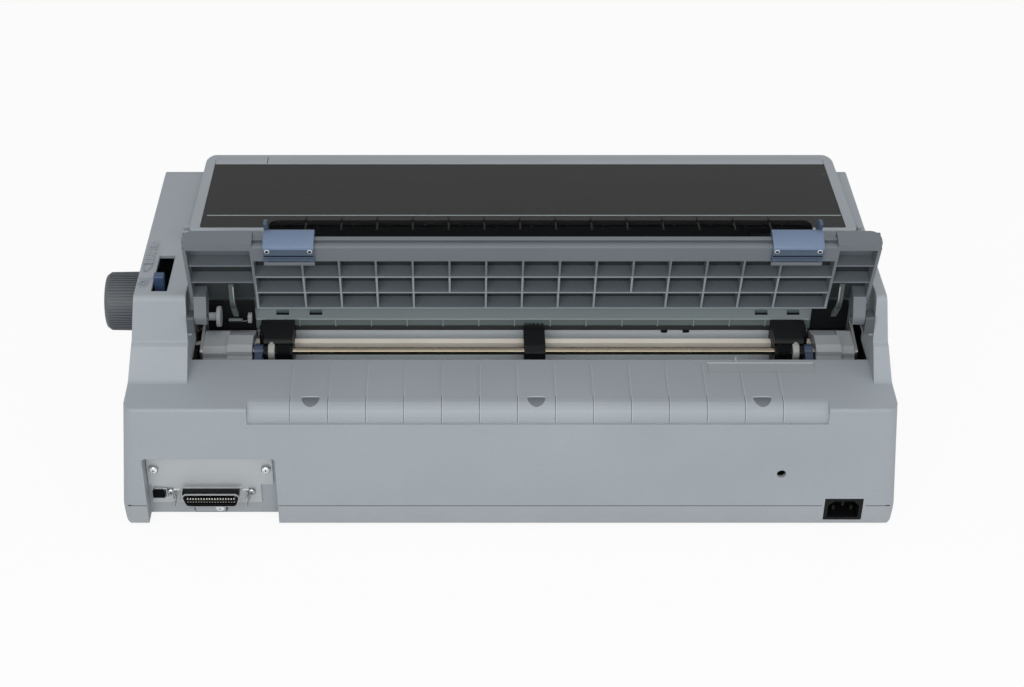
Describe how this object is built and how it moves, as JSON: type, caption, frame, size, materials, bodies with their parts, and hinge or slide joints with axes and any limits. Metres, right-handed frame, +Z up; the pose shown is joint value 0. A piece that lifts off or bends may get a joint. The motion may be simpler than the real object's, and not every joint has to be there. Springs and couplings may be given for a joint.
{
  "type": "dot matrix printer",
  "caption": "Wide-carriage desktop dot matrix printer with tractor feed, tilting ribbed paper guide, platen knob and hinged covers.",
  "frame": {"origin": "centre of the base footprint of the whole printer, platen knob included, on the plane of its rubber feet", "axes": "+X towards the platen knob along the print line, +Y to the rear with the tractor and connectors, +Z up"},
  "size_m": [0.634, 0.402, 0.2479],
  "materials": {
    "case_plastic": "fine textured grey moulding",
    "smoked_window": "smoked clear sheet",
    "panel_plastic": "textured darker grey moulding",
    "button_plastic": "pale grey caps",
    "black_plastic": "black moulding",
    "platen_rubber": "ground black rubber",
    "knob_plastic": "fluted dark grey knob",
    "gear_plastic": "natural acetal",
    "pinion_brass": "hobbed brass",
    "motor_steel": "dark motor shell",
    "guide_plastic": "blue grey ribbed moulding",
    "edge_guide_plastic": "slate blue moulding",
    "bright_steel": "ground bright steel",
    "square_shaft_steel": "warm plated square bar",
    "block_plastic": "grey moulding",
    "lever_plastic": "dark blue lever",
    "chute_plastic": "dark green grey moulding",
    "zinc_plated_steel": "zinc plated sheet",
    "head_aluminium": "finned casting",
    "connector_metal": "nickel plated shell",
    "circuit_board": "coated board"
  },
  "bodies": {
    "housing": {"upper_case": "case_plastic", "lower_case": "case_plastic", "rubber_feet": "platen_rubber", "control_panel": "panel_plastic", "chassis_pan": "zinc_plated_steel", "side_plates": "zinc_plated_steel", "platen_bushings": "gear_plastic", "carriage_rods": "bright_steel", "ribbon_cartridge": "black_plastic", "timing_belt": "platen_rubber", "carriage_motor": "motor_steel", "feed_motor": "motor_steel", "power_supply": "circuit_board", "main_board": "circuit_board", "interface_plate": "zinc_plated_steel", "parallel_connector": "connector_metal", "power_inlet": "black_plastic", "tractor_blocks": "block_plastic", "tractor_guide_shaft": "bright_steel", "paper_chute_upper": "chute_plastic", "paper_chute_lower": "chute_plastic"},
    "cover": {"printer_cover": "case_plastic", "cover_window": "smoked_window", "exit_strip": "case_plastic"},
    "front_hood": {"front_cover": "case_plastic"},
    "roller": {"tension_roller": "platen_rubber"},
    "guide_carrier": {"guide_brackets": "guide_plastic"},
    "guide": {"paper_guide": "guide_plastic", "guide_stays": "bright_steel"},
    "edge_left": {"edge_guide_left": "edge_guide_plastic"},
    "edge_right": {"edge_guide_right": "edge_guide_plastic"},
    "platen_unit": {"platen": "platen_rubber", "platen_knob": "knob_plastic", "platen_gear": "gear_plastic"},
    "tractor_drive": {"tractor_drive_shaft": "square_shaft_steel", "tractor_gear": "gear_plastic"},
    "pinion": {"feed_pinion": "pinion_brass"},
    "tractor_left": {"sprocket_unit_left": "black_plastic"},
    "tractor_right": {"sprocket_unit_right": "black_plastic"},
    "wheel_left": {"sprocket_wheel_left": "black_plastic"},
    "wheel_right": {"sprocket_wheel_right": "black_plastic"},
    "flap_left": {"sprocket_cover_left": "black_plastic"},
    "flap_right": {"sprocket_cover_right": "black_plastic"},
    "lock_left": {"lock_lever_left": "lever_plastic"},
    "lock_right": {"lock_lever_right": "lever_plastic"},
    "centre_rest": {"centre_support": "black_plastic"},
    "carriage_unit": {"carriage": "black_plastic", "print_head": "head_aluminium"},
    "pulley_drive": {"drive_pulley": "bright_steel"},
    "pulley_idle": {"idler_pulley": "bright_steel"},
    "switch": {"power_switch": "black_plastic"},
    "release_lever": {"paper_release_lever": "lever_plastic"},
    "gap_lever": {"thickness_lever": "lever_plastic"},
    "clip_left": {"connector_clip_left": "bright_steel"},
    "clip_right": {"connector_clip_right": "bright_steel"},
    "button_1": {"panel_button_1": "button_plastic"},
    "button_2": {"panel_button_2": "button_plastic"},
    "button_3": {"panel_button_3": "button_plastic"},
    "button_4": {"panel_button_4": "button_plastic"},
    "button_5": {"panel_button_5": "button_plastic"}
  },
  "joints": [
    {"name": "cover_hinge", "type": "hinge", "parent": "housing", "child": "cover", "pos_m": [-0.01116, 0.05, 0.181], "axis": [-1, 0, 0], "range_deg": [0, 60]},
    {"name": "front_cover_hinge", "type": "hinge", "parent": "housing", "child": "front_hood", "pos_m": [-0.01116, -0.197, 0.03], "axis": [1, 0, 0], "range_deg": [0, 85]},
    {"name": "roller_spin", "type": "hinge", "parent": "housing", "child": "roller", "pos_m": [-0.01116, 0.0495, 0.168], "axis": [1, 0, 0], "continuous": true},
    {"name": "guide_slide", "type": "slide", "parent": "housing", "child": "guide_carrier", "axis": [0, 1, 0], "range_m": [-0.06, 0]},
    {"name": "guide_tilt", "type": "hinge", "parent": "guide_carrier", "child": "guide", "pos_m": [-0.01116, 0.14, 0.16], "axis": [1, 0, 0], "range_deg": [-73, 0]},
    {"name": "edge_left_slide", "type": "slide", "parent": "guide", "child": "edge_left", "axis": [1, 0, 0], "range_m": [-0.15, 0.007]},
    {"name": "edge_right_slide", "type": "slide", "parent": "guide", "child": "edge_right", "axis": [1, 0, 0], "range_m": [-0.009, 0.15]},
    {"name": "platen_spin", "type": "hinge", "parent": "housing", "child": "platen_unit", "pos_m": [-0.01116, 0.0546, 0.118], "axis": [1, 0, 0], "continuous": true},
    {"name": "tractor_spin", "type": "hinge", "parent": "housing", "child": "tractor_drive", "pos_m": [-0.01116, 0.09651, 0.1046], "axis": [1, 0, 0], "continuous": true},
    {"name": "pinion_spin", "type": "hinge", "parent": "housing", "child": "pinion", "pos_m": [-0.01116, 0.04904, 0.08649], "axis": [1, 0, 0], "continuous": true},
    {"name": "tractor_left_slide", "type": "slide", "parent": "housing", "child": "tractor_left", "axis": [1, 0, 0], "range_m": [-0.17, 0]},
    {"name": "tractor_right_slide", "type": "slide", "parent": "housing", "child": "tractor_right", "axis": [1, 0, 0], "range_m": [0, 0.17]},
    {"name": "wheel_left_spin", "type": "hinge", "parent": "tractor_left", "child": "wheel_left", "pos_m": [0.17284, 0.09651, 0.1046], "axis": [1, 0, 0], "continuous": true},
    {"name": "wheel_right_spin", "type": "hinge", "parent": "tractor_right", "child": "wheel_right", "pos_m": [-0.23516, 0.09651, 0.1046], "axis": [1, 0, 0], "continuous": true},
    {"name": "flap_left_hinge", "type": "hinge", "parent": "tractor_left", "child": "flap_left", "pos_m": [0.18634, 0.09651, 0.1191], "axis": [0, 1, 0], "range_deg": [0, 95]},
    {"name": "flap_right_hinge", "type": "hinge", "parent": "tractor_right", "child": "flap_right", "pos_m": [-0.24866, 0.09651, 0.1191], "axis": [0, -1, 0], "range_deg": [0, 95]},
    {"name": "lock_left_turn", "type": "hinge", "parent": "tractor_left", "child": "lock_left", "pos_m": [0.18834, 0.11551, 0.111], "axis": [1, 0, 0], "range_deg": [0, 50]},
    {"name": "lock_right_turn", "type": "hinge", "parent": "tractor_right", "child": "lock_right", "pos_m": [-0.25066, 0.11551, 0.111], "axis": [1, 0, 0], "range_deg": [0, 50]},
    {"name": "centre_rest_slide", "type": "slide", "parent": "housing", "child": "centre_rest", "axis": [1, 0, 0], "range_m": [-0.12, 0.12]},
    {"name": "carriage_slide", "type": "slide", "parent": "housing", "child": "carriage_unit", "axis": [1, 0, 0], "range_m": [0, 0.42]},
    {"name": "drive_pulley_spin", "type": "hinge", "parent": "housing", "child": "pulley_drive", "pos_m": [-0.26116, -0.026, 0.069], "axis": [0, 0, 1], "continuous": true},
    {"name": "idler_pulley_spin", "type": "hinge", "parent": "housing", "child": "pulley_idle", "pos_m": [0.20284, -0.026, 0.069], "axis": [0, 0, 1], "continuous": true},
    {"name": "button_1_press", "type": "slide", "parent": "housing", "child": "button_1", "axis": [0, 0.6314, -0.7755], "range_m": [0, 0.0015], "stiffness_N_per_m": 400, "springref_m": -0.001},
    {"name": "button_2_press", "type": "slide", "parent": "housing", "child": "button_2", "axis": [0, 0.6314, -0.7755], "range_m": [0, 0.0015], "stiffness_N_per_m": 400, "springref_m": -0.001},
    {"name": "button_3_press", "type": "slide", "parent": "housing", "child": "button_3", "axis": [0, 0.6314, -0.7755], "range_m": [0, 0.0015], "stiffness_N_per_m": 400, "springref_m": -0.001},
    {"name": "button_4_press", "type": "slide", "parent": "housing", "child": "button_4", "axis": [0, 0.6314, -0.7755], "range_m": [0, 0.0015], "stiffness_N_per_m": 400, "springref_m": -0.001},
    {"name": "button_5_press", "type": "slide", "parent": "housing", "child": "button_5", "axis": [0, 0.6314, -0.7755], "range_m": [0, 0.0015], "stiffness_N_per_m": 400, "springref_m": -0.001},
    {"name": "switch_rock", "type": "hinge", "parent": "housing", "child": "switch", "pos_m": [0.26284, -0.1955, 0.041], "axis": [1, 0, 0], "range_deg": [-7, 7]},
    {"name": "release_turn", "type": "hinge", "parent": "housing", "child": "release_lever", "pos_m": [0.26184, 0.105, 0.112], "axis": [1, 0, 0], "range_deg": [0, 24]},
    {"name": "gap_lever_turn", "type": "hinge", "parent": "housing", "child": "gap_lever", "pos_m": [0.22934, 0, 0.119], "axis": [1, 0, 0], "range_deg": [-12, 12]},
    {"name": "clip_left_turn", "type": "hinge", "parent": "housing", "child": "clip_left", "pos_m": [0.25384, 0.191, 0.0225], "axis": [0, 0, 1], "range_deg": [-30, 15]},
    {"name": "clip_right_turn", "type": "hinge", "parent": "housing", "child": "clip_right", "pos_m": [0.19644, 0.191, 0.0225], "axis": [0, 0, 1], "range_deg": [-15, 30]}
  ],
  "couplings": [
    {"joint": "tractor_spin", "follows": "platen_spin", "ratio": -1.3158},
    {"joint": "pinion_spin", "follows": "platen_spin", "ratio": -3.5714},
    {"joint": "wheel_left_spin", "follows": "platen_spin", "ratio": -1.3158},
    {"joint": "wheel_right_spin", "follows": "platen_spin", "ratio": -1.3158},
    {"joint": "drive_pulley_spin", "follows": "carriage_slide", "rad_per_m": -131.58},
    {"joint": "idler_pulley_spin", "follows": "carriage_slide", "rad_per_m": -131.58}
  ]
}
